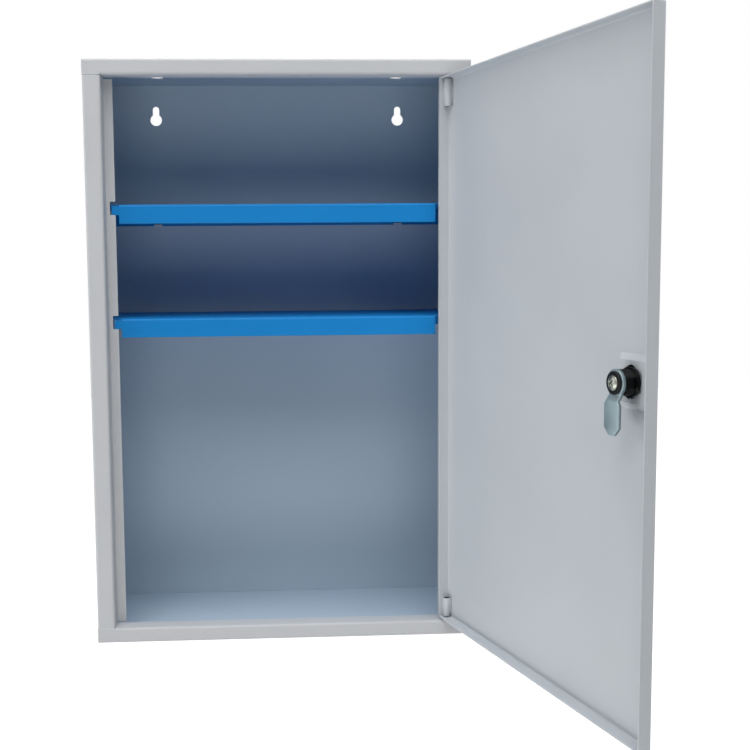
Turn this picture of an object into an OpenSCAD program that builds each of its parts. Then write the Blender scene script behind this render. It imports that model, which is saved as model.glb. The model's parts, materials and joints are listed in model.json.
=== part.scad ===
// Lockable medicine cabinet: a welded sheet-steel box with an inset tray door on two
// pivot hinges, a cam lock in a pressed square recess and two lift-out shelves.
// Millimetres, +Z up, the front faces -Y. Origin: middle of the back face, on the wall.

/* [Cabinet box] */
// Overall width of the box
cabinet_width = 300; // [280:5:420]
// Overall height of the box
cabinet_height = 460; // [430:10:640]
// Overall depth, wall to front face
cabinet_depth = 130; // [110:5:200]
// Thickness of the steel sheet
sheet = 0.8; // [0.7:0.1:1]
// Outer radius of every bend in the sheet
bend_radius = 2; // [1.8:0.1:2.2]

/* [Front frame] */
// Width of the front flange on the lock side
lock_jamb_width = 14; // [12:1:18]
// Width of the front flange on the hinge side
hinge_jamb_width = 12; // [12:1:18]
// Height of the front flange above the door
head_height = 12; // [10:1:18]
// Height of the front flange below the door
sill_height = 12; // [10:1:18]
// Depth of the rebate that the door closes into
rebate_depth = 15; // [14:0.5:16]
// Width of the stop flange on the lock side
lock_stop_width = 7; // [6:0.5:9]
// Width of the stop flange on the hinge side
hinge_stop_width = 11; // [8:0.5:12]
// Open joint between the head flange and the jamb flanges
butt_gap = 0.3; // [0.1:0.1:0.6]
// Gap from each end of a stop flange to the head or sill
stop_end_gap = 1; // [0.6:0.1:2]

/* [Back and top] */
// Width of the weld flanges of the back panel
back_flange = 12; // [8:1:16]
// Distance between the two wall keyholes
keyhole_spacing = 214; // [160:2:230]
// Diameter of the round part of a keyhole
keyhole_diameter = 10; // [9:0.5:14]
// Width of the narrow part of a keyhole
keyhole_slot_width = 5.6; // [4.5:0.1:7.2]
// Rise from the round part to the end of the slot
keyhole_rise = 8.8; // [8:0.2:12]
// Distance from the top of the box to the keyhole centre
keyhole_drop = 30.5; // [24:0.5:40]
// Diameter of the two holes in the top panel
top_hole_diameter = 10; // [6:1:14]
// Distance between the two holes in the top panel
top_hole_spacing = 202; // [120:2:220]
// Distance of the top holes behind the front face
top_hole_setback = 86; // [50:1:90]

/* [Shelves] */
// Height of the upper shelf above the middle of the box
upper_shelf_level = 120; // [110:1:140]
// Height of the lower shelf above the middle of the box
lower_shelf_level = 30; // [24:1:50]
// Height of the turned-down front edge of a shelf
shelf_lip = 15; // [13:0.5:18]
// Height of the turned-down rear edge of a shelf
shelf_rear_lip = 13.5; // [10:0.5:18]
// Gap from a shelf end to the side wall
shelf_side_gap = 3.2; // [2:0.2:5]
// Gap from the front lip to the stop flange on the lock side
shelf_lock_gap = 2.7; // [1.5:0.1:4]
// Gap from the front lip to the stop flange on the hinge side
shelf_hinge_gap = 2.4; // [1.5:0.1:4]
// Length of the tongue on the lip that drops into the frame notch
shelf_tongue_length = 5.7; // [5:0.1:6.2]
// Height of that tongue
shelf_tongue_height = 7; // [5:0.5:8]
// Free height of the notch above the tongue
notch_head_room = 3.5; // [2:0.5:6]
// Free width of the notch beyond the tongue
notch_end_room = 1.3; // [0.5:0.1:1.5]
// Width of the hooks lanced from the back panel
hook_width = 7; // [5:0.5:10]
// Height of the upright leg of a hook
hook_height = 1.5; // [1:0.5:5]
// Clearance of the rear lip in its hook, each side
hook_clearance = 0.6; // [0.4:0.1:0.9]
// Length of the rest lanced from the hinge-side wall
rest_length = 8; // [6:0.5:10]
// Width of that rest
rest_width = 10; // [6:0.5:14]
// Distance of the rest behind the rebate
rest_setback = 12; // [8:1:30]

/* [Door] */
// Angle the door stands open at rest
door_open_angle = 107; // [100:1:109]
// Gap between the door and each jamb
door_side_gap = 1.4; // [1.3:0.1:2]
// Gap between the door and the head or sill
door_end_gap = 1.2; // [1.1:0.1:1.6]
// Depth of the folded door tray
door_depth = 9.5; // [8.5:0.5:10.5]

/* [Hinges] */
// Outer diameter of the hinge barrels
barrel_diameter = 6; // [5.8:0.1:6]
// Length of the upper barrel
upper_barrel_length = 22; // [18:1:30]
// Length of the lower barrel
lower_barrel_length = 16; // [12:1:20]
// Diameter of the wider mouth of a barrel, at its free end
barrel_mouth_diameter = 4.8; // [4:0.1:5]
// Depth of that mouth
barrel_mouth_depth = 3; // [1:0.5:4]
// Diameter of the hinge pins
pin_diameter = 3; // [2.5:0.1:3.4]
// Running clearance round a pin, on the radius
pin_clearance = 0.05; // [0.04:0.01:0.08]
// Room between a barrel and the sheet it is welded to
weld_gap = 0.05; // [0.04:0.01:0.1]
// Length of a pin inside its barrel
pin_engagement = 11; // [8:0.5:11.5]
// Diameter of the pin head
pin_head_diameter = 5; // [4.6:0.1:5]
// Thickness of the pin head
pin_head_height = 1.2; // [1:0.1:2]
// Outer diameter of the plastic pivot washer
washer_diameter = 6.4; // [5.6:0.1:7]
// Thickness of the pivot washer
washer_thickness = 0.8; // [0.5:0.1:0.8]

/* [Lock recess] */
// Distance of the lock axis from the free edge of the door
lock_inset = 20.5; // [20:0.5:26]
// Height of the lock axis above the middle of the door
lock_level = 2; // [-4:1:6]
// Side of the pressed recess at the door panel
boss_base = 33; // [31:0.5:36]
// Side of the pressed recess at its flat bottom
boss_top = 26; // [25:0.5:28]
// Height the recess is pressed in
boss_rise = 3; // [2.5:0.1:3]

/* [Lock] */
// Diameter of the lock head
lock_head_diameter = 21; // [19:0.5:22]
// Thickness of the lock head
lock_head_height = 2; // [1.8:0.1:2.2]
// Outer diameter of the threaded barrel
lock_barrel_diameter = 16; // [15:0.1:16.4]
// Width across the two flats of the barrel
lock_barrel_flats = 14; // [13:0.1:14.4]
// Length of the barrel behind its head
lock_barrel_length = 10.7; // [10:0.1:10.8]
// Diameter of the turning plug
plug_diameter = 11.9; // [11:0.1:12]
// Running clearance round the plug, on the radius
plug_clearance = 0.05; // [0.04:0.01:0.08]
// Diameter of the flange on the front of the plug
plug_flange_diameter = 14; // [13:0.1:15]
// Thickness of the plug flange
plug_flange_height = 1; // [0.8:0.1:1.2]
// Width of the key slot
keyway_width = 1.8; // [1.4:0.1:2.2]
// Height of the key slot
keyway_height = 7; // [6:0.5:8]
// Number of wafers in the plug
wafer_count = 4; // [3:1:4]
// Thickness of one wafer
wafer_thickness = 0.7; // [0.5:0.1:0.8]
// Distance from one wafer to the next
wafer_pitch = 1.6; // [1.5:0.1:1.6]
// Width of a wafer
wafer_width = 5.6; // [5:0.1:6]
// Height of a wafer
wafer_height = 9.6; // [9:0.1:9.8]
// Clearance of a wafer in its slot, each side
wafer_clearance = 0.1; // [0.05:0.01:0.12]
// Width across flats of the ring nut
nut_flats = 18; // [17.5:0.1:20]
// Thickness of the ring nut
nut_thickness = 3; // [2.5:0.5:5]

/* [Cam] */
// Thickness of the cam plate
cam_thickness = 2; // [1.5:0.1:2]
// Diameter of the cam eye
cam_eye_diameter = 16.5; // [14.5:0.5:17]
// Width of the cam arm
cam_width = 14.4; // [12:0.1:16]
// Width of the neck between the eye and the arm
cam_neck_width = 11.5; // [9:0.5:12]
// Distance from the lock axis to the cam tip
cam_reach = 31; // [28:0.5:33]
// Corner chamfer on the cam tip
cam_tip_chamfer = 4.5; // [1:0.5:5]
// Set of the arm away from the door
cam_joggle = 2.3; // [2.2:0.1:2.6]
// Distance from the lock axis to the start of the joggle
cam_joggle_start = 7.4; // [7.4:0.1:9]
// Length of the sloping part of the joggle
cam_joggle_length = 3.2; // [2.5:0.1:4]
// Square of the plug tail that carries the cam
tail_square = 7.6; // [7:0.1:8]
// Clearance of the cam on that square
tail_clearance = 0.1; // [0.05:0.01:0.15]
// Diameter of the black washer over the cam
ring_diameter = 14; // [10:0.5:14]
// Thickness of that washer
ring_thickness = 1.3; // [0.8:0.1:1.5]
// Diameter of the cam screw head
screw_head_diameter = 9; // [7:0.5:10]
// Height of the cam screw head
screw_head_height = 2; // [1.5:0.1:2.5]
// Diameter of the cam screw shank
screw_diameter = 4; // [3:0.5:4.5]
// Length of the cam screw shank
screw_length = 8; // [6:0.5:8]

/* [Hidden] */
$fn = 48;
eps = 0.01;
half_width = cabinet_width / 2;
half_height = cabinet_height / 2;
front = -cabinet_depth;
inner_radius = bend_radius - sheet;
wall_inside = half_width - sheet;
end_inside = half_height - sheet;
opening_left = -half_width + lock_jamb_width;
opening_right = half_width - hinge_jamb_width;
opening_top = half_height - head_height;
opening_bottom = -half_height + sill_height;
rebate = front + rebate_depth;
keyhole_level = half_height - keyhole_drop;

lip_left = opening_left + lock_stop_width + shelf_lock_gap;
lip_right = opening_right - hinge_stop_width - shelf_hinge_gap;
shelf_levels = [upper_shelf_level, lower_shelf_level];
shelf_rear = -sheet - hook_clearance;
shelf_corner_setback = rebate + sheet + 0.8;
shelf_end = wall_inside - shelf_side_gap;
tongue_drop = bend_radius - sheet;

door_left = opening_left + door_side_gap;
door_right = opening_right - door_side_gap;
door_half_height = (opening_top - opening_bottom) / 2 - door_end_gap;
door_middle = (opening_top + opening_bottom) / 2;
hinge_inset = sheet + weld_gap + barrel_diameter / 2;
hinge_x = door_right - hinge_inset;
hinge_y = front + hinge_inset;
barrel_end = door_half_height - sheet;
bore_radius = pin_diameter / 2 + pin_clearance;
seat_radius = hinge_inset - bend_radius - weld_gap;

lock_x = door_left + lock_inset;
lock_z = door_middle + lock_level;
boss_shift = sheet * sqrt(1 + pow((boss_base - boss_top) / 2 / boss_rise, 2));
boss_slope = (boss_base - boss_top) / boss_rise;
recess_mouth = boss_base + boss_slope * sheet - 2 * boss_shift;
recess_floor = boss_top + boss_slope * sheet - 2 * boss_shift;
lock_seat = front + boss_rise;
lock_face = lock_seat - lock_head_height;
boss_inside = lock_seat + sheet;
barrel_back = lock_seat + lock_barrel_length;
cam_front = barrel_back + 0.3;
cam_back = cam_front + cam_thickness;
ring_back = cam_back + ring_thickness;
wafer_start = lock_face + plug_flange_height + 0.9;
keyway_depth = plug_flange_height + 0.9 + wafer_count * wafer_pitch;

steel_white = [0.80, 0.82, 0.83];
steel_blue = [0.10, 0.46, 0.72];
zinc = [0.74, 0.75, 0.76];
black = [0.06, 0.06, 0.07];
nylon = [0.90, 0.90, 0.86];
brass = [0.78, 0.64, 0.34];

// A rectangle between two opposite corners.
module strip(x0, y0, x1, y1) {
    translate([min(x0, x1), min(y0, y1)])
        square([abs(x1 - x0), abs(y1 - y0)]);
}

// One quarter bend of the sheet. The outer corner is at x, y and the bend centre lies towards sx, sy.
module bend(x, y, sx, sy) {
    translate([x + sx * bend_radius, y + sy * bend_radius])
        intersection() {
            difference() {
                circle(r = bend_radius);
                circle(r = inner_radius);
            }
            strip(0, 0, -sx * bend_radius, -sy * bend_radius);
        }
}

// Draws a Y-Z profile and extrudes it from x0 to x1.
module along_x(x0, x1) {
    translate([x0, 0, 0])
        rotate([90, 0, 90])
            linear_extrude(x1 - x0)
                children();
}

// Section of a side wall: wall, front flange, rebate and stop flange, wall outside at x = 0.
module jamb_section(flange, stop) {
    strip(0, front + bend_radius, sheet, 0);
    bend(0, front, 1, 1);
    strip(bend_radius, front, flange - bend_radius, front + sheet);
    bend(flange, front, -1, 1);
    strip(flange - sheet, front + bend_radius, flange, rebate + sheet - bend_radius);
    bend(flange - sheet, rebate + sheet, 1, -1);
    strip(flange + inner_radius, rebate, flange + stop, rebate + sheet);
}

// End of a side wall beside the head or sill, clear of the bend of that panel.
module wall_end(z0) {
    along_x(0, sheet)
        polygon([[front + sheet, z0], [front + sheet, end_inside - inner_radius],
            [front + bend_radius, end_inside], [0, end_inside], [0, z0]]);
}

// Side wall with its frame, wall outside at x = 0.
module side_wall(flange, stop) {
    jamb_top = opening_top - butt_gap;
    difference() {
        translate([0, 0, opening_bottom])
            linear_extrude(jamb_top - opening_bottom)
                jamb_section(flange, stop);
        for (z = [opening_bottom - 1, jamb_top - stop_end_gap])
            translate([flange + eps, rebate - 1, z])
                cube([stop + 1, sheet + 2, stop_end_gap + 1]);
    }
    wall_end(jamb_top);
    mirror([0, 0, 1])
        wall_end(-opening_bottom);
}

// Top or bottom wall with its front flange and the return above or below the door.
module cross_wall(edge) {
    along_x(-half_width, half_width) {
        strip(front + bend_radius, end_inside, 0, half_height);
        bend(front, half_height, 1, -1);
        strip(front, edge + bend_radius, front + sheet, half_height - bend_radius);
    }
    along_x(opening_left - sheet, opening_right + sheet) {
        bend(front, edge, 1, 1);
        strip(front + bend_radius, edge, rebate, edge + sheet);
    }
    along_x(-half_width, opening_left - sheet)
        strip(front, edge, front + sheet, edge + bend_radius);
    along_x(opening_right + sheet, half_width)
        strip(front, edge, front + sheet, edge + bend_radius);
}

// Keyhole cut, drawn in X-Z, slot upwards.
module keyhole() {
    circle(d = keyhole_diameter);
    translate([0, keyhole_rise])
        circle(d = keyhole_slot_width);
    strip(-keyhole_slot_width / 2, 0, keyhole_slot_width / 2, keyhole_rise);
}

// Hook lanced from the back panel under a rear shelf lip, lip bottom at z = 0.
module hook() {
    reach = 2 * hook_clearance + sheet;
    along_x(-hook_width / 2, hook_width / 2) {
        strip(-sheet - reach - sheet, -sheet, -sheet, 0);
        strip(-sheet - reach - sheet, 0, -sheet - reach, hook_height);
    }
}

// Shelf with front and rear lips, top face at z = 0.
module shelf() {
    along_x(-shelf_end, shelf_end) {
        strip(shelf_corner_setback, -sheet, shelf_rear - bend_radius, 0);
        bend(shelf_rear, 0, -1, -1);
        strip(shelf_rear - sheet, -bend_radius, shelf_rear, -shelf_rear_lip);
    }
    along_x(lip_left, lip_right) {
        strip(rebate + bend_radius, -sheet, shelf_corner_setback, 0);
        bend(rebate, 0, 1, -1);
        strip(rebate, -bend_radius, rebate + sheet, -shelf_lip);
    }
    translate([lip_left - shelf_tongue_length, rebate, -tongue_drop - shelf_tongue_height])
        cube([shelf_tongue_length + eps, sheet, shelf_tongue_height]);
}

// Turns a door piece from its closed place to the open place at rest.
module opened() {
    translate([hinge_x, hinge_y, 0])
        rotate([0, 0, door_open_angle])
            translate([-hinge_x, -hinge_y, 0])
                children();
}

// Section of a tray from a to b with rounded front corners, front at y0, back at y1.
module tray_section(a, b, y0, y1, radius) {
    strip(a, y0 + radius, b, y1);
    strip(a + radius, y0, b - radius, y0 + radius);
    for (x = [a + radius, b - radius])
        translate([x, y0 + radius])
            circle(r = radius);
}

// Tray body with all four front edges rounded, inset from the door outline.
module tray(inset, y1, radius) {
    intersection() {
        translate([0, 0, door_middle - door_half_height + inset])
            linear_extrude(2 * (door_half_height - inset))
                tray_section(door_left + inset, door_right - inset, front + inset, y1, radius);
        translate([door_left, 0, door_middle])
            rotate([90, 0, 90])
                linear_extrude(door_right - door_left)
                    rotate(-90)
                        mirror([1, 0])
                            tray_section(inset - door_half_height, door_half_height - inset,
                                front + inset, y1, radius);
    }
}

// Block that narrows from a square base at y = 0 to a square top at y = rise.
module frustum(base, top, rise) {
    side = [[-base / 2, 0], [base / 2, 0], [top / 2, rise], [-top / 2, rise]];
    intersection() {
        translate([0, 0, -base / 2])
            linear_extrude(base)
                polygon(side);
        rotate([0, 90, 0])
            translate([0, 0, -base / 2])
                linear_extrude(base)
                    polygon(side);
    }
}

// Places a lock piece drawn with its axis along +Z on the lock axis, back end towards +Y.
module on_lock_axis(y) {
    opened()
        translate([lock_x, y, lock_z])
            rotate([-90, 0, 0])
                children();
}

// Circle with two flats, drawn so that the flats stand upright.
module double_d(diameter, flats) {
    intersection() {
        circle(d = diameter);
        square([flats, diameter], center = true);
    }
}

// Rod on z = 0, chamfered down to the seat radius so that it clears the bend of the sheet below.
module chamfered_rod(length, diameter) {
    chamfer = diameter / 2 - seat_radius;
    cylinder(h = chamfer, r1 = seat_radius, d2 = diameter);
    translate([0, 0, chamfer])
        cylinder(h = length - chamfer, d = diameter);
}

// Headed hinge pin through a frame return, head outside, tip inwards, written for the top.
module hinge_pin(edge) {
    tip = door_half_height - sheet - pin_engagement;
    translate([hinge_x, hinge_y, 0]) {
        translate([0, 0, tip + 0.5])
            cylinder(h = edge + sheet - tip - 0.5, d = pin_diameter);
        translate([0, 0, tip])
            cylinder(h = 0.5, d1 = pin_diameter - 1, d2 = pin_diameter);
        translate([0, 0, edge + sheet])
            chamfered_rod(pin_head_height, pin_head_diameter);
    }
}

// Hinge barrel that stands on the lower end fold of the tray, in its hinge-side corner.
module hinge_barrel(length) {
    opened()
        translate([hinge_x, hinge_y, -barrel_end])
            difference() {
                chamfered_rod(length, barrel_diameter);
                translate([0, 0, -1])
                    cylinder(h = length + 2, r = bore_radius);
                translate([0, 0, length - barrel_mouth_depth])
                    cylinder(h = barrel_mouth_depth + 1, d = barrel_mouth_diameter);
            }
}

module top_panel() {
    color(steel_white)
        difference() {
            cross_wall(opening_top);
            for (x = [-1, 1])
                translate([x * top_hole_spacing / 2, front + top_hole_setback, end_inside - 1])
                    cylinder(h = sheet + 2, d = top_hole_diameter);
            translate([hinge_x, hinge_y, opening_top - 1])
                cylinder(h = sheet + 2, r = bore_radius);
        }
}

module bottom_panel() {
    color(steel_white)
        mirror([0, 0, 1])
            difference() {
                cross_wall(-opening_bottom);
                translate([hinge_x, hinge_y, -opening_bottom - 1])
                    cylinder(h = sheet + 2, r = bore_radius);
            }
}

module left_side() {
    tongue_bottom = -tongue_drop - shelf_tongue_height;
    color(steel_white)
        difference() {
            translate([-half_width, 0, 0])
                side_wall(lock_jamb_width, lock_stop_width);
            for (z = shelf_levels)
                translate([lip_left - shelf_tongue_length - notch_end_room, rebate - 1, z + tongue_bottom])
                    cube([20, sheet + 2, shelf_tongue_height + notch_head_room]);
        }
}

module right_side() {
    color(steel_white) {
        difference() {
            translate([half_width, 0, 0])
                mirror([1, 0, 0])
                    side_wall(hinge_jamb_width, hinge_stop_width);
            for (z = shelf_levels)
                translate([wall_inside - 1, rebate + rest_setback, z - sheet])
                    cube([sheet + 2, rest_width, rest_length]);
        }
        for (z = shelf_levels)
            translate([wall_inside - rest_length, rebate + rest_setback + 0.3, z - 2 * sheet])
                cube([rest_length + eps, rest_width - 0.6, sheet]);
    }
}

module back_panel() {
    color(steel_white) {
        difference() {
            translate([0, 0, -end_inside])
                linear_extrude(2 * end_inside) {
                    strip(bend_radius - wall_inside, -sheet, wall_inside - bend_radius, 0);
                    for (side = [-1, 1]) {
                        bend(side * wall_inside, 0, -side, -1);
                        strip(side * wall_inside, -back_flange, side * (wall_inside - sheet), -bend_radius);
                    }
                }
            for (x = [-1, 1]) {
                translate([x * keyhole_spacing / 2, 1, keyhole_level])
                    rotate([90, 0, 0])
                        linear_extrude(sheet + 2)
                            keyhole();
                for (z = shelf_levels)
                    translate([x * keyhole_spacing / 2 - hook_width / 2, -sheet - 1, z - shelf_rear_lip])
                        cube([hook_width, sheet + 2, hook_height + 2]);
            }
        }
        for (x = [-1, 1], z = shelf_levels)
            translate([x * keyhole_spacing / 2, 0, z - shelf_rear_lip])
                hook();
    }
}

module upper_shelf() {
    color(steel_blue)
        translate([0, 0, upper_shelf_level])
            shelf();
}

module lower_shelf() {
    color(steel_blue)
        translate([0, 0, lower_shelf_level])
            shelf();
}

module upper_hinge_pin() {
    color(zinc)
        translate([0, 0, door_middle])
            hinge_pin(opening_top - door_middle);
}

module lower_hinge_pin() {
    color(zinc)
        translate([0, 0, door_middle])
            mirror([0, 0, 1])
                hinge_pin(door_middle - opening_bottom);
}

module pivot_washer() {
    color(nylon)
        translate([hinge_x, hinge_y, opening_bottom])
            difference() {
                cylinder(h = washer_thickness, d = washer_diameter);
                translate([0, 0, -1])
                    cylinder(h = washer_thickness + 2, r = bore_radius);
            }
}

module door_panel() {
    back = front + door_depth;
    color(steel_white)
        opened()
            difference() {
                union() {
                    difference() {
                        tray(0, back, bend_radius);
                        tray(sheet, back + 1, inner_radius);
                    }
                    translate([lock_x, front + sheet - eps, lock_z])
                        frustum(boss_base, boss_top, boss_rise + eps);
                }
                translate([lock_x, front - eps, lock_z])
                    frustum(recess_mouth, recess_floor, boss_rise + eps);
                translate([lock_x, front - 1, lock_z])
                    rotate([-90, 0, 0])
                        linear_extrude(boss_rise + 4)
                            double_d(lock_barrel_diameter + 0.2, lock_barrel_flats + 0.2);
                translate([hinge_x, hinge_y, door_middle - door_half_height - 1])
                    cylinder(h = 2 * door_half_height + 2, r = bore_radius);
            }
}

module upper_hinge_barrel() {
    color(steel_white)
        translate([0, 0, door_middle])
            mirror([0, 0, 1])
                hinge_barrel(upper_barrel_length);
}

module lower_hinge_barrel() {
    color(steel_white)
        translate([0, 0, door_middle])
            hinge_barrel(lower_barrel_length);
}

module lock_housing() {
    flange_pocket = plug_flange_height + plug_clearance;
    color(black)
        on_lock_axis(lock_face)
            difference() {
                union() {
                    cylinder(h = 0.6, d1 = lock_head_diameter - 1.2, d2 = lock_head_diameter);
                    translate([0, 0, 0.6])
                        cylinder(h = lock_head_height - 0.6, d = lock_head_diameter);
                    translate([0, 0, lock_head_height])
                        linear_extrude(lock_barrel_length)
                            double_d(lock_barrel_diameter, lock_barrel_flats);
                }
                translate([0, 0, -1])
                    cylinder(h = 40, r = plug_diameter / 2 + plug_clearance);
                translate([0, 0, -1])
                    cylinder(h = flange_pocket + 1, r = plug_flange_diameter / 2 + plug_clearance);
            }
}

module lock_nut() {
    corner = nut_flats / cos(30);
    color(black)
        on_lock_axis(boss_inside)
            difference() {
                intersection() {
                    rotate(90)
                        cylinder(h = nut_thickness, d = corner, $fn = 6);
                    cylinder(h = nut_thickness, d1 = corner + nut_thickness * 2 - 0.8, d2 = corner - 0.8);
                }
                translate([0, 0, -1])
                    cylinder(h = nut_thickness + 2, d = lock_barrel_diameter + 0.1);
            }
}

module lock_plug() {
    body_length = cam_front - lock_face;
    tail_length = cam_thickness - 0.1;
    color(brass)
        on_lock_axis(lock_face)
            difference() {
                union() {
                    cylinder(h = plug_flange_height, d = plug_flange_diameter);
                    cylinder(h = body_length, d = plug_diameter);
                    translate([0, 0, body_length])
                        linear_extrude(tail_length)
                            intersection() {
                                square(tail_square, center = true);
                                circle(d = tail_square * 1.3);
                            }
                }
                translate([-keyway_width / 2, -keyway_height / 2, -1])
                    cube([keyway_width, keyway_height, keyway_depth + 1]);
                for (i = [0 : wafer_count - 1])
                    translate([0, 0, wafer_start - lock_face + i * wafer_pitch + wafer_thickness / 2])
                        cube([wafer_width + 2 * wafer_clearance, wafer_height + 2 * wafer_clearance,
                            wafer_thickness + 2 * wafer_clearance], center = true);
                translate([0, 0, cam_back - lock_face - screw_length])
                    cylinder(h = screw_length + 1, d = screw_diameter + 0.1);
            }
}

module lock_wafers() {
    color(brass)
        on_lock_axis(wafer_start)
            for (i = [0 : wafer_count - 1])
                translate([0, 0, i * wafer_pitch + wafer_thickness / 2])
                    difference() {
                        cube([wafer_width, wafer_height, wafer_thickness], center = true);
                        translate([0, (i - 1.5) * 0.4, 0])
                            cube([keyway_width + 0.6, keyway_height - 1, wafer_thickness + 1], center = true);
                    }
}

module lock_cam() {
    arm_start = cam_joggle_start + cam_joggle_length;
    half_arm = cam_width / 2;
    half_neck = cam_neck_width / 2;
    color(zinc)
        on_lock_axis(cam_front)
            difference() {
                union() {
                    cylinder(h = cam_thickness, d = cam_eye_diameter);
                    along_x(-half_neck, half_neck)
                        polygon([[0, 0], [cam_joggle_start, 0], [arm_start, cam_joggle],
                            [arm_start + 1, cam_joggle], [arm_start + 1, cam_joggle + cam_thickness],
                            [arm_start, cam_joggle + cam_thickness], [cam_joggle_start, cam_thickness],
                            [0, cam_thickness]]);
                    translate([0, 0, cam_joggle])
                        linear_extrude(cam_thickness)
                            polygon([[-half_neck, arm_start], [-half_arm, arm_start + 2],
                                [-half_arm, cam_reach - cam_tip_chamfer], [cam_tip_chamfer - half_arm, cam_reach],
                                [half_arm - cam_tip_chamfer, cam_reach], [half_arm, cam_reach - cam_tip_chamfer],
                                [half_arm, arm_start + 2], [half_neck, arm_start]]);
                }
                translate([0, 0, cam_thickness / 2])
                    cube([tail_square + 2 * tail_clearance, tail_square + 2 * tail_clearance,
                        cam_thickness + 2], center = true);
            }
}

module cam_washer() {
    color(black)
        on_lock_axis(cam_back)
            difference() {
                cylinder(h = ring_thickness, d = ring_diameter);
                translate([0, 0, -1])
                    cylinder(h = ring_thickness + 2, d = screw_diameter + 0.4);
            }
}

module cam_screw() {
    dome = screw_head_height * 0.4;
    color(zinc)
        on_lock_axis(ring_back)
            difference() {
                union() {
                    translate([0, 0, -screw_length - ring_thickness + 0.5])
                        cylinder(h = screw_length + ring_thickness, d = screw_diameter);
                    cylinder(h = screw_head_height - dome, d = screw_head_diameter);
                    translate([0, 0, screw_head_height - dome])
                        cylinder(h = dome, d1 = screw_head_diameter, d2 = screw_head_diameter * 0.72);
                }
                for (a = [0, 90])
                    rotate(a)
                        translate([0, 0, screw_head_height - 0.5])
                            cube([screw_head_diameter * 0.55, 1, 1.6], center = true);
            }
}

top_panel();
bottom_panel();
left_side();
right_side();
back_panel();
upper_shelf();
lower_shelf();
upper_hinge_pin();
lower_hinge_pin();
pivot_washer();
door_panel();
upper_hinge_barrel();
lower_hinge_barrel();
lock_housing();
lock_nut();
lock_plug();
lock_wafers();
lock_cam();
cam_washer();
cam_screw();
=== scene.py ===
"""Looks of a lockable medicine cabinet: coated sheet steel, blue shelves and a black cam lock."""

import json
import math

import bmesh
import bpy
from mathutils import Matrix, Vector


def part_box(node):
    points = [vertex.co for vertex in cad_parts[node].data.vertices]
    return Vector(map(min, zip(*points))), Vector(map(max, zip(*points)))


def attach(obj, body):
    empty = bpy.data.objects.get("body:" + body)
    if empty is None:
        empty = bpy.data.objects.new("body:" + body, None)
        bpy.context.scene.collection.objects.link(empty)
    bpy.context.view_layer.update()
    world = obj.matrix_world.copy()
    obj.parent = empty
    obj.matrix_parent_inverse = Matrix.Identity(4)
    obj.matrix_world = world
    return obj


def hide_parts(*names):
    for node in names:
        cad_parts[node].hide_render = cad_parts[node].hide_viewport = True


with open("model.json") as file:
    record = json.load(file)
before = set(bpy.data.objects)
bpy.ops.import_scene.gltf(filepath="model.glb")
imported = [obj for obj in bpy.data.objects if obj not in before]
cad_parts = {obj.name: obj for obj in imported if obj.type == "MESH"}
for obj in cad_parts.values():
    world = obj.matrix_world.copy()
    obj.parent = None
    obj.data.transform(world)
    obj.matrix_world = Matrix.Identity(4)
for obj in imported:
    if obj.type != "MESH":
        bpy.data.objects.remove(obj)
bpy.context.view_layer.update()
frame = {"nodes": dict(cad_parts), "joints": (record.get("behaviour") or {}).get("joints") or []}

bl_info = {
    "name": "Medicine cabinet looks",
    "version": (1, 0, 0),
    "blender": (4, 5, 0),
    "location": "3D View > Sidebar > Cabinet",
    "description": "Finishes, lock details, lights and camera for a lockable medicine cabinet",
    "category": "Object",
}

MM = 0.001
UP = Vector((0, 0, 1))
JOINTS = {joint["name"]: joint for joint in frame["joints"]}
LOCK_PLACE = Vector(JOINTS["lock_turn"]["pos_m"])
LOCK_AXIS = Vector(JOINTS["lock_turn"]["axis"]).normalized()
HINGE_PLACE = Vector(JOINTS["door_hinge"]["pos_m"])
# How far the door stands open at rest: the lock axis points straight back when it is shut.
DOOR_TURN = math.atan2(-LOCK_AXIS.x, LOCK_AXIS.y)


# ---------------------------------------------------------------- sizes and colours


def linear(text):
    """Turns an sRGB hex colour into the linear values that a shader reads."""
    parts = [int(text[i : i + 2], 16) / 255 for i in (1, 3, 5)]
    return [c / 12.92 if c <= 0.04045 else ((c + 0.055) / 1.055) ** 2.4 for c in parts]


def length(name, description, default_mm):
    """A length that is shown in the scene's units and kept in metres."""
    return bpy.props.FloatProperty(
        name=name,
        description=description,
        default=default_mm * MM,
        subtype="DISTANCE",
        unit="LENGTH",
        precision=5,
    )


def paint(name, description, default_hex):
    """A colour with a colour picker."""
    return bpy.props.FloatVectorProperty(
        name=name,
        description=description,
        default=linear(default_hex),
        subtype="COLOR",
        size=3,
        min=0,
        max=1,
    )


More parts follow.
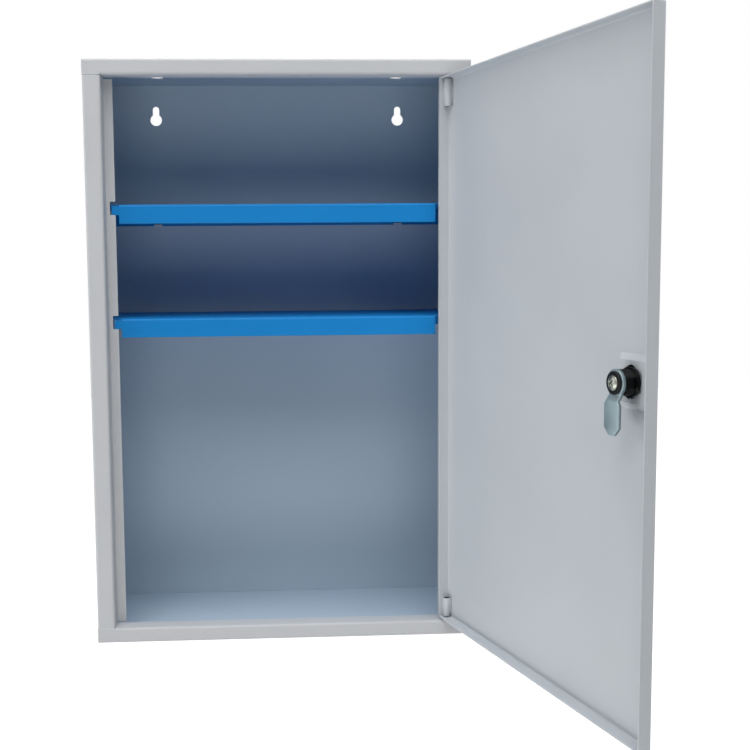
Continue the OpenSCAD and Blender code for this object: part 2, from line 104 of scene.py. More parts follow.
class CabinetLooks(bpy.types.PropertyGroup):
    """Sizes and colours that a user may want to change."""

    coat: paint("Outer coat", "Light grey coat outside and on the frame", "#BFC1C4")
    # The inner coat is a cooler tint painted inside the box as painted cool shade.
    inner_coat_painted_shade: paint("Inner coat", "Cooler coat inside the box", "#B6C6D4")
    # The door coat is the outer coat made a touch cooler, as painted cool shade on the door.
    door_coat_painted_cool: paint("Door coat", "Light grey coat on the door", "#BCC1C6")
    shelf_coat: paint("Shelf coat", "Blue coat of the shelves", "#0A7CC2")
    cam_plating: paint("Cam plating", "Bluish zinc on the cam", "#8E9EA3")
    barrel_width: length("Lock barrel", "Outer diameter of the threaded lock barrel", 16)
    barrel_flats: length("Barrel flats", "Width across the two flats of the barrel", 14)
    barrel_bore: length("Barrel bore", "Inner diameter of the barrel, round the plug", 12)
    flange_seat: length("Flange seat", "Diameter of the pocket for the plug flange", 14.1)
    flange_depth: length("Flange pocket", "Depth of the pocket for the plug flange", 1)
    head_height: length("Lock head", "Thickness of the head on the front of the door", 2)
    thread_pitch: length("Thread pitch", "Distance from one thread to the next", 1)
    thread_depth: length("Thread depth", "Depth of the thread", 0.5)
    nut_bore: length("Nut bore", "Inner diameter of the ring nut", 16.1)
    screw_head: length("Screw head", "Diameter of the head of the cam screw", 9)
    screw_shank: length("Screw shank", "Diameter of the shank of the cam screw", 4)
    screw_height: length("Screw height", "Height of the head of the cam screw", 2)
    hinge_bore: length("Hinge bore", "Inner diameter of a hinge barrel, round its pin", 3.1)
    hinge_mouth: length("Hinge mouth", "Diameter of the wider mouth of a hinge barrel", 4.8)
    mouth_depth: length("Mouth depth", "Depth of that mouth", 3)
    hinge_seat: length(
        "Hinge seat", "Diameter of a hinge barrel where it stands on the fold of the door", 3.6
    )


# ---------------------------------------------------------------- materials

# The sockets of a Mix node that mixes colours.
MIX_SHARE, MIX_FIRST, MIX_SECOND, MIX_RESULT = 0, 6, 7, 2
# Half the length of a space that has no ends, in metres.
ENDLESS = 1000
# The painted shade lining's share of the outer coat's specular level.
LINING_SHEEN = 0.2


def add_node(tree, kind, settings=None, inputs=None, links=None):
    """Adds one node, with its settings, its input values and its links from other sockets."""
    node = tree.nodes.new(kind)
    for name, value in (settings or {}).items():
        setattr(node, name, value)
    for name, value in (inputs or {}).items():
        node.inputs[name].default_value = value
    for name, socket in (links or {}).items():
        tree.links.new(socket, node.inputs[name])
    return node


def start_material(name):
    """A fresh material with its shader, and the Object coordinates that its patterns read."""
    material = bpy.data.materials.new(name)
    material.use_nodes = True
    tree = material.node_tree
    place = add_node(tree, "ShaderNodeTexCoord").outputs["Object"]
    return material, tree, tree.nodes["Principled BSDF"], place


def link_surface(tree, shader, body, roughness, normal):
    """Gives the shader the colour, the roughness and the normal of its surface."""
    tree.links.new(body, shader.inputs["Base Color"])
    tree.links.new(roughness, shader.inputs["Roughness"])
    tree.links.new(normal, shader.inputs["Normal"])


def scaled(colour, share):
    """A linear colour made darker or lighter, and never lighter than white."""
    return [min(1, value * share) for value in colour]


def clouded(tree, place, size_mm, shade, colour, low, high):
    """Soft clouds of a size: a colour from shade to colour, and a number from low to high."""
    sizes = {"Scale": 1 / (size_mm * MM), "Detail": 3}
    clouds = add_node(tree, "ShaderNodeTexNoise", None, sizes, {"Vector": place}).outputs["Fac"]
    # The noise seldom leaves this range, which is spread from 0 to 1.
    sizes = {"From Min": 0.3, "From Max": 0.7}
    spread = add_node(tree, "ShaderNodeMapRange", None, sizes, {"Value": clouds}).outputs["Result"]
    colours = {MIX_FIRST: (*shade, 1), MIX_SECOND: (*colour, 1)}
    mix = add_node(tree, "ShaderNodeMix", {"data_type": "RGBA"}, colours, {MIX_SHARE: spread})
    sizes = {"To Min": low, "To Max": high}
    number = add_node(tree, "ShaderNodeMapRange", None, sizes, {"Value": spread})
    return mix.outputs[MIX_RESULT], number.outputs["Result"]


def rounded_rims_painted_highlight(tree, body, rim, radius_mm, highlight_amount):
    """Rounds the edges in the shading, and paints the rim's colour into the body along them as a
    painted highlight.
    """
    sizes = {"Radius": radius_mm * MM}
    rounded = add_node(tree, "ShaderNodeBevel", {"samples": 4}, sizes).outputs["Normal"]
    flat = add_node(tree, "ShaderNodeNewGeometry").outputs["Normal"]
    links = {0: rounded, 1: flat}
    likeness = add_node(tree, "ShaderNodeVectorMath", {"operation": "DOT_PRODUCT"}, None, links)
    # The rim fades out where the rounded normal comes back to the flat one.
    sizes = {"From Min": 0.82, "From Max": 0.998, "To Min": highlight_amount, "To Max": 0}
    links = {"Value": likeness.outputs["Value"]}
    edge = add_node(tree, "ShaderNodeMapRange", None, sizes, links).outputs["Result"]
    links = {MIX_SHARE: edge, MIX_FIRST: body}
    mix = add_node(tree, "ShaderNodeMix", {"data_type": "RGBA"}, {MIX_SECOND: (*rim, 1)}, links)
    return rounded, mix.outputs[MIX_RESULT]


def rippled(tree, place, normal, size_mm, height_mm):
    """Fine ripples of a size and a height, on top of another normal."""
    sizes = {"Scale": 1 / (size_mm * MM), "Detail": 2}
    ripples = add_node(tree, "ShaderNodeTexNoise", None, sizes, {"Vector": place}).outputs["Fac"]
    sizes = {"Strength": 1, "Distance": height_mm * MM}
    links = {"Height": ripples, "Normal": normal}
    return add_node(tree, "ShaderNodeBump", None, sizes, links).outputs["Normal"]


def inside_box(tree, place, low, high):
    """1 where a point lies between two corners, and 0 elsewhere."""
    box = {"Location": (low + high) / 2, "Scale": (high - low) / 2}
    local = add_node(tree, "ShaderNodeMapping", {"vector_type": "TEXTURE"}, box, {"Vector": place})
    links = {0: local.outputs["Vector"]}
    size = add_node(tree, "ShaderNodeVectorMath", {"operation": "ABSOLUTE"}, None, links)
    links = {"Vector": size.outputs["Vector"]}
    axes = add_node(tree, "ShaderNodeSeparateXYZ", None, None, links).outputs
    furthest = axes["X"]
    for axis in (axes["Y"], axes["Z"]):
        links = {0: furthest, 1: axis}
        larger = add_node(tree, "ShaderNodeMath", {"operation": "MAXIMUM"}, None, links)
        furthest = larger.outputs["Value"]
    near = add_node(tree, "ShaderNodeMath", {"operation": "LESS_THAN"}, {1: 1.0}, {0: furthest})
    return near.outputs["Value"]


def inside_tube(tree, place, centre, radius):
    """1 where a point lies nearer than a radius to an upright line, and 0 elsewhere."""
    tube = {"Location": (centre.x, centre.y, 0), "Scale": (radius, radius, ENDLESS)}
    local = add_node(tree, "ShaderNodeMapping", {"vector_type": "TEXTURE"}, tube, {"Vector": place})
    links = {0: local.outputs["Vector"]}
    reach = add_node(tree, "ShaderNodeVectorMath", {"operation": "LENGTH"}, None, links)
    links = {0: reach.outputs["Value"]}
    near = add_node(tree, "ShaderNodeMath", {"operation": "LESS_THAN"}, {1: 1.0}, links)
    return near.outputs["Value"]


def powder_coat(name, colour, rim, gloss, level, peel_mm=1.6, painted_shade_lining=None):
    """Powder coat on steel: faintly cloudy, with orange peel and a paler rim colour painted along
    the edges as a painted highlight.

    The lining is a second, matt colour painted over its space as painted shade, and a function that
    adds the nodes of its space.
    """
    material, tree, shader, place = start_material(name)
    shade = scaled(colour, 0.96)
    low, high = gloss * 0.9, gloss * 1.1
    body, roughness = clouded(
        tree, place, size_mm=70, shade=shade, colour=colour, low=low, high=high
    )
    shader.inputs["Specular IOR Level"].default_value = level
    if painted_shade_lining:
        # The lining paints its colour over its space as painted shade, and makes that space matt.
        painted_shade_colour, add_space = painted_shade_lining
        space = add_space(tree, place)
        links = {MIX_SHARE: space, MIX_FIRST: body}
        inside = {MIX_SECOND: (*painted_shade_colour, 1)}
        mix = add_node(tree, "ShaderNodeMix", {"data_type": "RGBA"}, inside, links)
        body = mix.outputs[MIX_RESULT]
        sizes = {"To Min": level, "To Max": level * LINING_SHEEN}
        sheen = add_node(tree, "ShaderNodeMapRange", None, sizes, {"Value": space})
        tree.links.new(sheen.outputs["Result"], shader.inputs["Specular IOR Level"])
    # The rim colour is painted along the edges as a painted highlight.
    rounded, body = rounded_rims_painted_highlight(tree, body, linear(rim), radius_mm=0.6, highlight_amount=0.8)
    peel = rippled(tree, place, rounded, size_mm=peel_mm, height_mm=0.006)
    link_surface(tree, shader, body, roughness, peel)
    return material


def plated_metal(name, colour, gloss, cloud_mm, grain=(1, 1, 1), edge_mm=0.15, highlight_share=1.35):
    """Plated metal: cloudy gloss, a fine grain along one direction and edges painted brighter as a
    painted highlight.
    """
    material, tree, shader, place = start_material(name)
    shade = scaled(colour, 0.78)
    low, high = gloss * 0.8, gloss * 1.25
    body, roughness = clouded(
        tree, place, size_mm=cloud_mm, shade=shade, colour=colour, low=low, high=high
    )
    rounded, body = rounded_rims_painted_highlight(tree, body, scaled(colour, highlight_share), radius_mm=edge_mm, highlight_amount=0.7)
    stretched = add_node(
        tree, "ShaderNodeVectorMath", {"operation": "MULTIPLY"}, {1: grain}, {0: place}
    ).outputs["Vector"]
    # The real grain is under a tenth of a millimetre wide, and is drawn coarser to show.
    scratches = rippled(tree, stretched, rounded, size_mm=0.5, height_mm=0.003)
    link_surface(tree, shader, body, roughness, scratches)
    shader.inputs["Metallic"].default_value = 1.0
    return material


def moulded_nylon(name, colour):
    """Natural nylon: milky, a little light passes under its skin."""
    material, tree, shader, place = start_material(name)
    shade = scaled(colour, 0.9)
    body, roughness = clouded(
        tree, place, size_mm=4, shade=shade, colour=colour, low=0.4, high=0.5
    )
    # The full colour is painted in along the edges as a faint painted highlight.
    rounded, body = rounded_rims_painted_highlight(tree, body, colour, radius_mm=0.1, highlight_amount=0.5)
    # The moulded skin is finer than this, and is drawn coarser to show.
    skin = rippled(tree, place, rounded, size_mm=0.4, height_mm=0.001)
    link_surface(tree, shader, body, roughness, skin)
    shader.inputs["Subsurface Weight"].default_value = 0.3
    shader.inputs["Subsurface Radius"].default_value = (0.6 * MM, 0.5 * MM, 0.4 * MM)
    shader.inputs["Subsurface Scale"].default_value = 1.0
    return material


def finish_nodes(material, *names):
    """Gives the material to every slot of these CAD nodes."""
    for name in names:
        for slot in frame["nodes"][name].material_slots:
            slot.material = material


# ---------------------------------------------------------------- meshes

# Points this near to each other are one, in metres.
SPUN_GAP, COPIED_GAP, CUT_GAP = 1e-7, 1e-6, 1e-8
# Faces that turn less than the first angle are merged, and edges past the second are rounded.
FLAT_DEGREES, SHARP_DEGREES = 1, 25
# Faces with more corners than this are cut into triangles.
MOST_CORNERS = 4


def span_on_lock_axis(node):
    """Where a node begins and ends along the lock axis, measured inwards from the joint."""
    vertices = frame["nodes"][node].data.vertices
    reach = [(vertex.co - LOCK_PLACE).dot(LOCK_AXIS) for vertex in vertices]
    return min(reach), max(reach)


def lock_matrix():
    """Turns local points, with Z along the lock axis and X upwards, into the frame."""
    turn = Matrix((UP, LOCK_AXIS.cross(UP), LOCK_AXIS)).transposed().to_4x4()
    return Matrix.Translation(LOCK_PLACE) @ turn


def revolve(shape, profile, steps, closed=True):
    """Spins a profile of radius and height pairs once round the Z axis, into the shape."""
    points = [shape.verts.new((radius, 0, z)) for radius, z in profile]
    pairs = list(zip(points, points[1:]))
    if closed:
        pairs.append((points[-1], points[0]))
    edges = [shape.edges.new(pair) for pair in pairs]
    bmesh.ops.spin(
        shape,
        geom=points + edges,
        cent=(0, 0, 0),
        axis=(0, 0, 1),
        angle=2 * math.pi,
        steps=steps,
        use_merge=True,
    )
    bmesh.ops.remove_doubles(shape, verts=shape.verts, dist=SPUN_GAP)


def cut_flat(shape, degrees, distance):
    """Cuts the shape by an upright plane at an angle and a distance, and closes the cut."""
    angle = math.radians(degrees)
    normal = Vector((math.cos(angle), math.sin(angle), 0))
    cut = bmesh.ops.bisect_plane(
        shape,
        geom=shape.verts[:] + shape.edges[:] + shape.faces[:],
        dist=CUT_GAP,
        plane_co=normal * distance,
        plane_no=normal,
        clear_outer=True,
    )
    rim = [item for item in cut["geom_cut"] if isinstance(item, bmesh.types.BMEdge)]
    bmesh.ops.holes_fill(shape, edges=rim, sides=0)


def join_shape(shape, other):
    """Moves all of another shape into this one."""
    mesh = bpy.data.meshes.new("joined")
    other.to_mesh(mesh)
    other.free()
    shape.from_mesh(mesh)
    bpy.data.meshes.remove(mesh)


def rounded_copy(node, radius):
    """A merged copy of a CAD node whose sharp edges are rounded."""
    shape = bmesh.new()
    shape.from_mesh(frame["nodes"][node].data)
    bmesh.ops.remove_doubles(shape, verts=shape.verts, dist=COPIED_GAP)
    bmesh.ops.dissolve_limit(
        shape,
        angle_limit=math.radians(FLAT_DEGREES),
        verts=shape.verts,
        edges=shape.edges,
        delimit={"NORMAL"},
    )
    sharp = math.radians(SHARP_DEGREES)
    edges = [edge for edge in shape.edges if edge.is_manifold and edge.calc_face_angle() > sharp]
    bmesh.ops.bevel(
        shape,
        geom=edges,
        offset=radius,
        offset_type="OFFSET",
        segments=3,
        profile=0.5,
        affect="EDGES",
        clamp_overlap=True,
        material=-1,
    )
    wide = [face for face in shape.faces if len(face.verts) > MOST_CORNERS]
    bmesh.ops.triangulate(shape, faces=wide)
    return shape


def add_piece(name, shape, matrix, material, body, replaced, smooth_degrees=40):
    """Makes an object of a shape, gives it its finish and lets it ride in a node's place."""
    bmesh.ops.transform(shape, matrix=matrix, verts=shape.verts)
    bmesh.ops.recalc_face_normals(shape, faces=shape.faces)
    mesh = bpy.data.meshes.new(name)
    shape.to_mesh(mesh)
    shape.free()
    mesh.materials.append(material)
    mesh.shade_smooth()
    mesh.set_sharp_from_angle(angle=math.radians(smooth_degrees))
    piece = bpy.data.objects.new(name, mesh)
    bpy.context.scene.collection.objects.link(piece)
    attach(piece, body)
    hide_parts(replaced)


# ---------------------------------------------------------------- box, shelves and door

# Just thinner than the sheet, so that the outside of the bends keeps the outer coat.
SKIN = 0.75 * MM


class CABINET_OT_box(bpy.types.Operator):
    """Coats the box of the cabinet"""

    bl_idname = "cabinet.box"
    bl_label = "Box"

    def execute(self, context):
        looks = context.scene.cabinet_looks
        top, bottom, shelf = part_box("top_panel"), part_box("bottom_panel"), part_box("upper_shelf")
        # The lining covers the inner faces of the box, behind the stop flanges, with a cooler colour
        # as painted cool shade.
        skin = Vector((SKIN, SKIN, SKIN))
        low = Vector((bottom[0].x, shelf[0].y, bottom[0].z)) + skin
        high = Vector(top[1]) - skin
        painted_shade_lining = (looks.inner_coat_painted_shade, lambda tree, place: inside_box(tree, place, low, high))
        # Smooth satin coat, a touch paler along the bends as a painted highlight, and inside a
        # cooler, matt tint as painted cool shade.
        coat = powder_coat(
            "light_grey_powder_coat", looks.coat, "#E4EAEE", gloss=0.45, level=0.25, painted_shade_lining=painted_shade_lining
        )
        finish_nodes(coat, "top_panel", "bottom_panel", "left_side", "right_side", "back_panel")
        return {"FINISHED"}


class CABINET_OT_shelves(bpy.types.Operator):
    """Coats the two shelves"""

    bl_idname = "cabinet.shelves"
    bl_label = "Shelves"

    def execute(self, context):
        looks = context.scene.cabinet_looks
        # Strong blue coat whose lit edges show as a thin lighter line.
        coat = powder_coat("blue_powder_coat", looks.shelf_coat, "#4C94D2", gloss=0.5, level=0.2)
        finish_nodes(coat, "upper_shelf", "lower_shelf")
        return {"FINISHED"}


class CABINET_OT_door(bpy.types.Operator):
    """Coats the door"""

    bl_idname = "cabinet.door"
    bl_label = "Door"

    def execute(self, context):
        looks = context.scene.cabinet_looks
        # The satin coat again, on the large flat sheet of the door, a touch cooler as painted cool
        # shade and with a painted highlight along its edges.
        coat = powder_coat("door_powder_coat", looks.door_coat_painted_cool, "#E2E4E6", gloss=0.45, level=0.25)
        finish_nodes(coat, "door_panel")
        return {"FINISHED"}


# ---------------------------------------------------------------- hinges

# How far the thick coat rounds the edges of a barrel.
COAT_EDGE = 0.3 * MM
# The beads of weld: one in the groove at the panel, and one at the return of the door.
BEAD_DEGREES = (-125, 35)
BEAD_DISTANCE = 3.3 * MM
# Half a bead's depth and width in millimetres, and half its length as a share of the barrel's.
BEAD_DEPTH, BEAD_WIDTH, BEAD_LENGTH = 0.75, 0.9, 0.4
# How strongly a bead swells and shrinks along its length, and how fast, in radians for each mm.
BEAD_SWELL, BEAD_RHYTHM = 0.12, 4.2


def hinge_barrel(looks, outer, tall):
    """A barrel that stands on its narrow seat, with soft edges and a wide mouth at the top."""
    bore, mouth, seat = looks.hinge_bore / 2, looks.hinge_mouth / 2, looks.hinge_seat / 2
    deep = tall - looks.mouth_depth
    profile = [
        (bore, 0),
        (seat, 0),
        (outer, outer - seat),
        (outer, tall - COAT_EDGE),
        (outer - COAT_EDGE, tall),
        (mouth + COAT_EDGE, tall),
        (mouth, tall - COAT_EDGE),
        (mouth, deep),
        (bore, deep),
    ]
    shape = bmesh.new()
    revolve(shape, profile, steps=48)
    return shape


def weld_bead(degrees, tall):
    """A wavy bead of weld that stands beside a barrel, at an angle round it."""
    turn = Matrix.Rotation(math.radians(degrees), 4, "Z")
    middle = turn @ Matrix.Translation((BEAD_DISTANCE, 0, tall / 2))
    stretch = Matrix.Diagonal((BEAD_DEPTH, BEAD_WIDTH, tall / MM * BEAD_LENGTH, 1))
    bead = bmesh.new()
    bmesh.ops.create_uvsphere(
        bead, u_segments=16, v_segments=24, radius=MM, matrix=middle @ stretch
    )
    for vertex in bead.verts:
        away = vertex.co - middle.translation
        wave = 1 + BEAD_SWELL * math.sin(away.z / MM * BEAD_RHYTHM)
        vertex.co = middle.translation + Vector((away.x * wave, away.y * wave, away.z))
    return bead


class CABINET_OT_hinges(bpy.types.Operator):
    """Makes the welded hinge barrels, and finishes the pins and the pivot washer"""

    bl_idname = "cabinet.hinges"
    bl_label = "Hinges"

    def execute(self, context):
        looks = context.scene.cabinet_looks
        # The bore and the round edge of its mouth are painted dark and matt, as painted shade inside
        # the mouth.
        bore = (looks.hinge_mouth + COAT_EDGE) / 2
        painted_bore_shade = linear("#3E4144")
        painted_shade_lining = (painted_bore_shade, lambda tree, place: inside_tube(tree, place, HINGE_PLACE, bore))
        # The coat runs thick over barrel and weld, so it is coarse and its edges are soft; it takes
        # the door's cooler colour as painted cool shade, and a painted highlight along its edges.
        coat = powder_coat(
            "coated_weld",
            looks.door_coat_painted_cool,
            "#C6CACE",
            gloss=0.5,
            level=0.2,
            peel_mm=2.5,
            painted_shade_lining=painted_shade_lining,
        )
        # Both barrels have their mouths towards the middle of the door.
        for node, up in (("upper_hinge_barrel", -1), ("lower_hinge_barrel", 1)):
            low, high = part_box(node)
            outer, tall = (high.x - low.x) / 2, high.z - low.z
            shape = hinge_barrel(looks, outer, tall)
            for degrees in BEAD_DEGREES:
                join_shape(shape, weld_bead(degrees, tall))
            foot = high.z if up < 0 else low.z
            stand = Matrix.Translation((HINGE_PLACE.x, HINGE_PLACE.y, foot))
            matrix = stand @ Matrix.Rotation(DOOR_TURN, 4, "Z") @ Matrix.Diagonal((1, 1, up, 1))
            add_piece("welded_" + node, shape, matrix, coat, "door", node, 50)
        # Greased bare steel on the turned pins, dark in the mouths of the barrels.
        steel = plated_metal("greased_steel_pins", linear("#5E6265"), gloss=0.42, cloud_mm=2)
        finish_nodes(steel, "upper_hinge_pin", "lower_hinge_pin")
        # Milky plastic on the lower return, under the door.
        finish_nodes(moulded_nylon("natural_nylon", linear("#E6E5DC")), "pivot_washer")
        return {"FINISHED"}


# ---------------------------------------------------------------- lock


class CABINET_OT_lock_barrel(bpy.types.Operator):
    """Makes the lock barrel with its rounded head, thread and two flats"""

    bl_idname = "cabinet.lock_barrel"
    bl_label = "Lock barrel"

    def execute(self, context):
        looks = context.scene.cabinet_looks
        low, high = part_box("lock_housing")
        head = (high.z - low.z) / 2
        front, back = span_on_lock_axis("lock_housing")
        seat = front + looks.head_height
        outer, bore = looks.barrel_width / 2, looks.barrel_bore / 2
        pitch, root = looks.thread_pitch, outer - looks.thread_depth
        steps = 72
        # The threaded sleeve starts inside the head and ends in a short lead.
        start = seat - 0.3 * MM
        turns = int((back - seat) / pitch - 0.5)
        profile = [(bore, start), (root, start)]
        for i in range(turns):
            profile += [(root, seat + pitch * i), (outer, seat + pitch * (i + 0.5))]
        profile += [(root, seat + pitch * turns), (root, back), (bore, back)]
        sleeve = bmesh.new()
        revolve(sleeve, profile, steps)
        for degrees in (90, 270):
            cut_flat(sleeve, degrees, looks.barrel_flats / 2)
        # The head has a rounded rim and a pocket for the flange of the plug.
        pocket, floor = looks.flange_seat / 2, front + looks.flange_depth
        profile = [(bore, seat), (bore, floor), (pocket, floor), (pocket, front)]
        rim, parts = 0.8 * MM, 5
        for i in range(parts + 1):
            turn = math.pi / 2 * i / parts
            profile.append((head - rim + rim * math.sin(turn), front + rim - rim * math.cos(turn)))
        profile.append((head, seat))
        shape = bmesh.new()
        revolve(shape, profile, steps)
        join_shape(shape, sleeve)
        # Black coat on die-cast zinc: deep black with a soft satin sheen, and a dark grey painted
        # highlight along its edges.
        black = powder_coat(
            "black_coated_die_cast",
            linear("#08090A"),
            "#1C1E20",
            gloss=0.42,
            level=0.12,
            peel_mm=0.5,
        )
        matrix = lock_matrix()
        add_piece(
            "threaded_lock_barrel", shape, matrix, black, "door", "lock_housing"
        )
        return {"FINISHED"}


class CABINET_OT_lock_nut(bpy.types.Operator):
    """Makes the six-sided ring nut with its chamfered corners"""

    bl_idname = "cabinet.lock_nut"
    bl_label = "Ring nut"

    def execute(self, context):
        looks = context.scene.cabinet_looks
        low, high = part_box("lock_nut")
        corner = (high.z - low.z) / 2
        flat = corner * math.cos(math.pi / 6)
        front, back = span_on_lock_axis("lock_nut")
        bore, lead = looks.nut_bore / 2, 0.5 * MM
        # The corners are chamfered at 30 degrees, as on most nuts.
        chamfer = (corner - flat) * math.tan(math.radians(30))
        profile = [
            (bore + lead, front),
            (flat, front),
            (corner, front + chamfer),
            (corner, back - chamfer),
            (flat, back),
            (bore + lead, back),
            (bore, back - lead),
            (bore, front + lead),
        ]
        shape = bmesh.new()
        revolve(shape, profile, steps=96)
        for side in range(6):
            cut_flat(shape, 30 + 60 * side, flat)
        # The nut has the same black coat, with a little grey painted along its corners as a painted
        # highlight.
        black = powder_coat(
            "black_coated_nut", linear("#08090A"), "#25282A", gloss=0.4, level=0.12, peel_mm=0.6
        )
        add_piece("ring_nut", shape, lock_matrix(), black, "door", "lock_nut", 25)
        return {"FINISHED"}


class CABINET_OT_cam(bpy.types.Operator):
    """Makes the pressed cam with its rolled edges, and its black washer"""

    bl_idname = "cabinet.cam"
    bl_label = "Cam"

    def execute(self, context):
        looks = context.scene.cabinet_looks
        # A copy of a CAD node is already in its place.
        place = Matrix()
        # Bluish zinc on pressed steel, with the rolling grain along the arm and bright edges of
        # painted highlight.
        zinc = plated_metal(
            "passivated_zinc",
            looks.cam_plating,
            gloss=0.5,
            cloud_mm=20,
            grain=(1, 1, 0.12),
            edge_mm=0.3,
            highlight_share=2.0,
        )
        shape = rounded_copy("lock_cam", 0.35 * MM)
        add_piece("pressed_cam", shape, place, zinc, "lock_cylinder", "lock_cam", 50)
        # Oiled black oxide on the washer: dull black with a faint gleam, and a grey painted
        # highlight along its edges.
        oxide = powder_coat(
            "black_oxide", linear("#0A0B0C"), "#222527", gloss=0.38, level=0.15, peel_mm=0.8
        )
        shape = rounded_copy("cam_washer", 0.2 * MM)
        add_piece(
            "oiled_washer", shape, place, oxide, "lock_cylinder", "cam_washer", 50
        )
        return {"FINISHED"}


def ramp(value, width):
    """A soft step from 0 to 1 that is half way up where the value is 0."""
    part = max(0, min(1, 0.5 + value / width))
    return part * part * (3 - 2 * part)


def cross_depth(x, y):
    """How deep a cross of two diagonal slots is at a point, from 0 to 1."""
    arm, half_slot, side, end = 2.3 * MM, 0.45 * MM, 0.3 * MM, 0.6 * MM
    diagonal = 0.7071
    u, v = (x + y) * diagonal, (y - x) * diagonal
    return max(
        ramp(half_slot - abs(across), side) * ramp(arm - abs(along), end)
        for across, along in ((u, v), (v, u))
    )


class CABINET_OT_cam_screw(bpy.types.Operator):
    """Makes the domed cam screw with its cross recess"""

    bl_idname = "cabinet.cam_screw"
    bl_label = "Cam screw"

    def execute(self, context):
        looks = context.scene.cabinet_looks
        front, back = span_on_lock_axis("cam_screw")
        head, shank = looks.screw_head / 2, looks.screw_shank / 2
        under = back - looks.screw_height
        rim, point = 0.6 * MM, 0.4 * MM
        profile = [
            (0, front),
            (shank - point, front),
            (shank, front + point),
            (shank, under),
            (head, under),
        ]
        # The dome is flat on top and falls ever faster to the rim.
        rounds, fall = 36, 2.4
        for i in range(rounds + 1):
            size = 1 - i / rounds
            profile.append((head * size, back - (back - under - rim) * size**fall))
        shape = bmesh.new()
        revolve(shape, profile, steps=96, closed=False)
        # The cross is pressed into the dome.
        deep = 1.3 * MM
        for vertex in shape.verts:
            if vertex.co.z > under + rim:
                vertex.co.z -= cross_depth(vertex.co.x, vertex.co.y) * deep
        # Dull nickel, clouded by handling.
        nickel = plated_metal("dull_nickel_screw", linear("#8C8F87"), gloss=0.3, cloud_mm=1.5)
        add_piece(
            "cross_recess_screw",
            shape,
            lock_matrix(),
            nickel,
            "lock_cylinder",
            "cam_screw",
            55,
        )
        return {"FINISHED"}


class CABINET_OT_plug(bpy.types.Operator):
    """Finishes the turning plug and its wafers"""

    bl_idname = "cabinet.plug"
    bl_label = "Plug"

    def execute(self, context):
        # Bright chrome on the face that takes the key.
        chrome = plated_metal("chromed_plug", linear("#D4D6D8"), gloss=0.14, cloud_mm=6)
        finish_nodes(chrome, "lock_plug")
        # Punched brass inside the plug: yellow with a dull gleam.
        brass = plated_metal("punched_brass", linear("#C8A458"), gloss=0.32, cloud_mm=1.5)
        finish_nodes(brass, "lock_wafers")
        return {"FINISHED"}


# ---------------------------------------------------------------- stage

LAMP_DISTANCE = 2.5
# Each lamp: its name, its azimuth from the front towards the left and its elevation in degrees,
# its width and height in metres, and its watts.
LAMPS = (
    ("lamp_above", 0, 75, 1.4, 1.4, 42),
    ("lamp_front_high", 15, 45, 3.0, 1.2, 28),
    ("lamp_left", 90, 15, 1.4, 1.4, 12),
    ("lamp_low_front", 0, -30, 1.4, 1.4, 14),
    ("lamp_low_left", 70, -30, 1.4, 1.4, 28),
    ("lamp_back", 180, 35, 2.4, 1.4, 32),
    ("lamp_right", -90, 25, 1.4, 1.4, 16),
)
FLOOR_HEIGHT, FLOOR_SIZE = -1.5, 12
# How strongly the surroundings light the cabinet, where 1 is white to the eye.
WORLD_FILL = 0.1
# The camera: its image's width, and its lens and shifts on the same scale, in pixels.
IMAGE_WIDTH, FOCAL_LENGTH, SHIFT_RIGHT, SHIFT_UP = 750, 1100.6, 44.9, -5.55
SENSOR_MM = 36
CAMERA_PLACE_MM = (-6.59, -997.4, 74.6)
# Its turns in degrees, the first of them outermost.
CAMERA_TURNS = (("Z", -2.972), ("X", -5.637), ("Y", 0.469))


def add_lamp(name, azimuth, elevation, width, height, watts):
    """A large soft lamp that faces the cabinet and isn't seen itself."""
    middle = Vector((0.05, -0.1, 0.0))
    around, above = math.radians(azimuth), math.radians(elevation)
    level = math.cos(above)
    towards = Vector((-math.sin(around) * level, -math.cos(around) * level, math.sin(above)))
    data = bpy.data.lights.new(name, "AREA")
    data.shape = "RECTANGLE"
    data.size, data.size_y = width, height
    data.energy = watts
    lamp = bpy.data.objects.new(name, data)
    lamp.location = middle + towards * LAMP_DISTANCE
    lamp.rotation_mode = "QUATERNION"
    lamp.rotation_quaternion = (-towards).to_track_quat("-Z", "Y")
    lamp.visible_camera = False
    bpy.context.scene.collection.objects.link(lamp)


def seen_rays(tree):
    """1 for rays that show a surface to the eye: camera, mirror-like and see-through ones."""
    rays = add_node(tree, "ShaderNodeLightPath").outputs
    seen = rays["Is Camera Ray"]
    for ray in (rays["Is Glossy Ray"], rays["Is Transmission Ray"]):
        links = {0: seen, 1: ray}
        either = add_node(tree, "ShaderNodeMath", {"operation": "MAXIMUM"}, None, links)
        seen = either.outputs["Value"]
    return seen


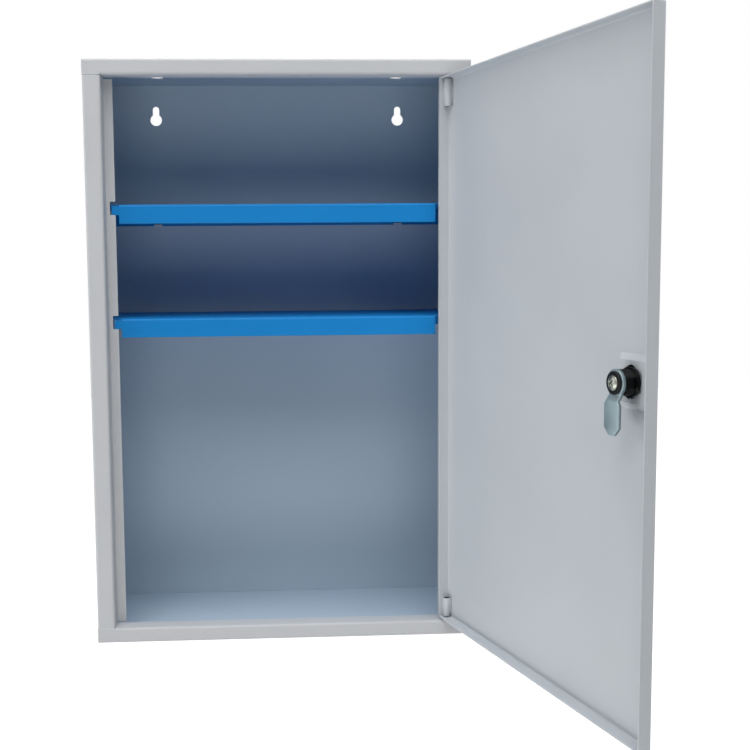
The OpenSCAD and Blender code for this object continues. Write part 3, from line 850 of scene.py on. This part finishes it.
def make_floor():
    """A pale floor well below the cabinet, which hangs at eye height."""
    mesh = bpy.data.meshes.new("floor")
    shape = bmesh.new()
    level = Matrix.Translation((0, 0, FLOOR_HEIGHT))
    bmesh.ops.create_grid(shape, x_segments=1, y_segments=1, size=FLOOR_SIZE, matrix=level)
    shape.to_mesh(mesh)
    shape.free()
    floor = bpy.data.objects.new("floor", mesh)
    bpy.context.scene.collection.objects.link(floor)
    # Pale matt paint that looks white from afar and keeps the shadow under the cabinet.
    material, tree, shader, place = start_material("pale_floor")
    shade, colour = linear("#F0F0F0"), linear("#F6F6F6")
    tone, roughness = clouded(
        tree, place, size_mm=400, shade=shade, colour=colour, low=0.85, high=0.95
    )
    tree.links.new(tone, shader.inputs["Base Color"])
    tree.links.new(roughness, shader.inputs["Roughness"])
    shader.inputs["Specular IOR Level"].default_value = 0.1
    distance = add_node(tree, "ShaderNodeVectorMath", {"operation": "LENGTH"}, None, {0: place})
    sizes = {"From Min": 1.8, "From Max": 3.5, "To Min": 0.55, "To Max": 1.0}
    glow = add_node(tree, "ShaderNodeMapRange", None, sizes, {"Value": distance.outputs["Value"]})
    links = {0: glow.outputs["Result"], 1: seen_rays(tree)}
    lit = add_node(tree, "ShaderNodeMath", {"operation": "MULTIPLY"}, None, links)
    shader.inputs["Emission Color"].default_value = (1, 1, 1, 1)
    tree.links.new(lit.outputs["Value"], shader.inputs["Emission Strength"])
    mesh.materials.append(material)


def make_world():
    """White to the eye and in reflections, and only a weak even fill as a light."""
    world = bpy.data.worlds.new("studio")
    bpy.context.scene.world = world
    world.use_nodes = True
    tree = world.node_tree
    background = tree.nodes["Background"]
    background.inputs["Color"].default_value = (1, 1, 1, 1)
    sizes = {"To Min": WORLD_FILL, "To Max": 1.0}
    strength = add_node(tree, "ShaderNodeMapRange", None, sizes, {"Value": seen_rays(tree)})
    tree.links.new(strength.outputs["Result"], background.inputs["Strength"])


def make_camera():
    """The camera stands about a metre in front, a little left and above the middle."""
    data = bpy.data.cameras.new("camera")
    camera = bpy.data.objects.new("camera", data)
    bpy.context.scene.collection.objects.link(camera)
    bpy.context.scene.camera = camera
    data.sensor_width = SENSOR_MM
    data.lens = FOCAL_LENGTH / IMAGE_WIDTH * data.sensor_width
    data.shift_x = SHIFT_RIGHT / IMAGE_WIDTH
    data.shift_y = SHIFT_UP / IMAGE_WIDTH
    turn = Matrix.Identity(4)
    for axis, degrees in CAMERA_TURNS:
        turn = turn @ Matrix.Rotation(math.radians(degrees), 4, axis)
    stand = Matrix.Translation(Vector(CAMERA_PLACE_MM) * MM)
    camera.matrix_world = stand @ turn @ Matrix.Rotation(math.pi / 2, 4, "X")


class CABINET_OT_stage(bpy.types.Operator):
    """Makes the floor, the white surroundings, the lamps and the camera"""

    bl_idname = "cabinet.stage"
    bl_label = "Stage"

    def execute(self, context):
        make_floor()
        make_world()
        for lamp in LAMPS:
            add_lamp(*lamp)
        make_camera()
        context.scene.view_settings.view_transform = "Standard"
        return {"FINISHED"}


# ---------------------------------------------------------------- panel and start


class CABINET_PT_panel(bpy.types.Panel):
    """Lists the sizes, the colours and the steps."""

    bl_idname = "CABINET_PT_panel"
    bl_label = "Medicine cabinet"
    bl_space_type = "VIEW_3D"
    bl_region_type = "UI"
    bl_category = "Cabinet"

    def draw(self, context):
        for name in CabinetLooks.__annotations__:
            self.layout.prop(context.scene.cabinet_looks, name)
        for operator in OPERATORS:
            self.layout.operator(operator.bl_idname)


OPERATORS = (
    CABINET_OT_box,
    CABINET_OT_shelves,
    CABINET_OT_door,
    CABINET_OT_hinges,
    CABINET_OT_lock_barrel,
    CABINET_OT_lock_nut,
    CABINET_OT_cam,
    CABINET_OT_cam_screw,
    CABINET_OT_plug,
    CABINET_OT_stage,
)
CLASSES = (CabinetLooks, *OPERATORS, CABINET_PT_panel)


def register():
    for item in CLASSES:
        bpy.utils.register_class(item)
    bpy.types.Scene.cabinet_looks = bpy.props.PointerProperty(type=CabinetLooks)


def unregister():
    del bpy.types.Scene.cabinet_looks
    for item in reversed(CLASSES):
        bpy.utils.unregister_class(item)


def main():
    register()
    bpy.ops.cabinet.box()
    bpy.ops.cabinet.shelves()
    bpy.ops.cabinet.door()
    bpy.ops.cabinet.hinges()
    bpy.ops.cabinet.lock_barrel()
    bpy.ops.cabinet.lock_nut()
    bpy.ops.cabinet.cam()
    bpy.ops.cabinet.cam_screw()
    bpy.ops.cabinet.plug()
    bpy.ops.cabinet.stage()


if __name__ == "__main__":
    main()
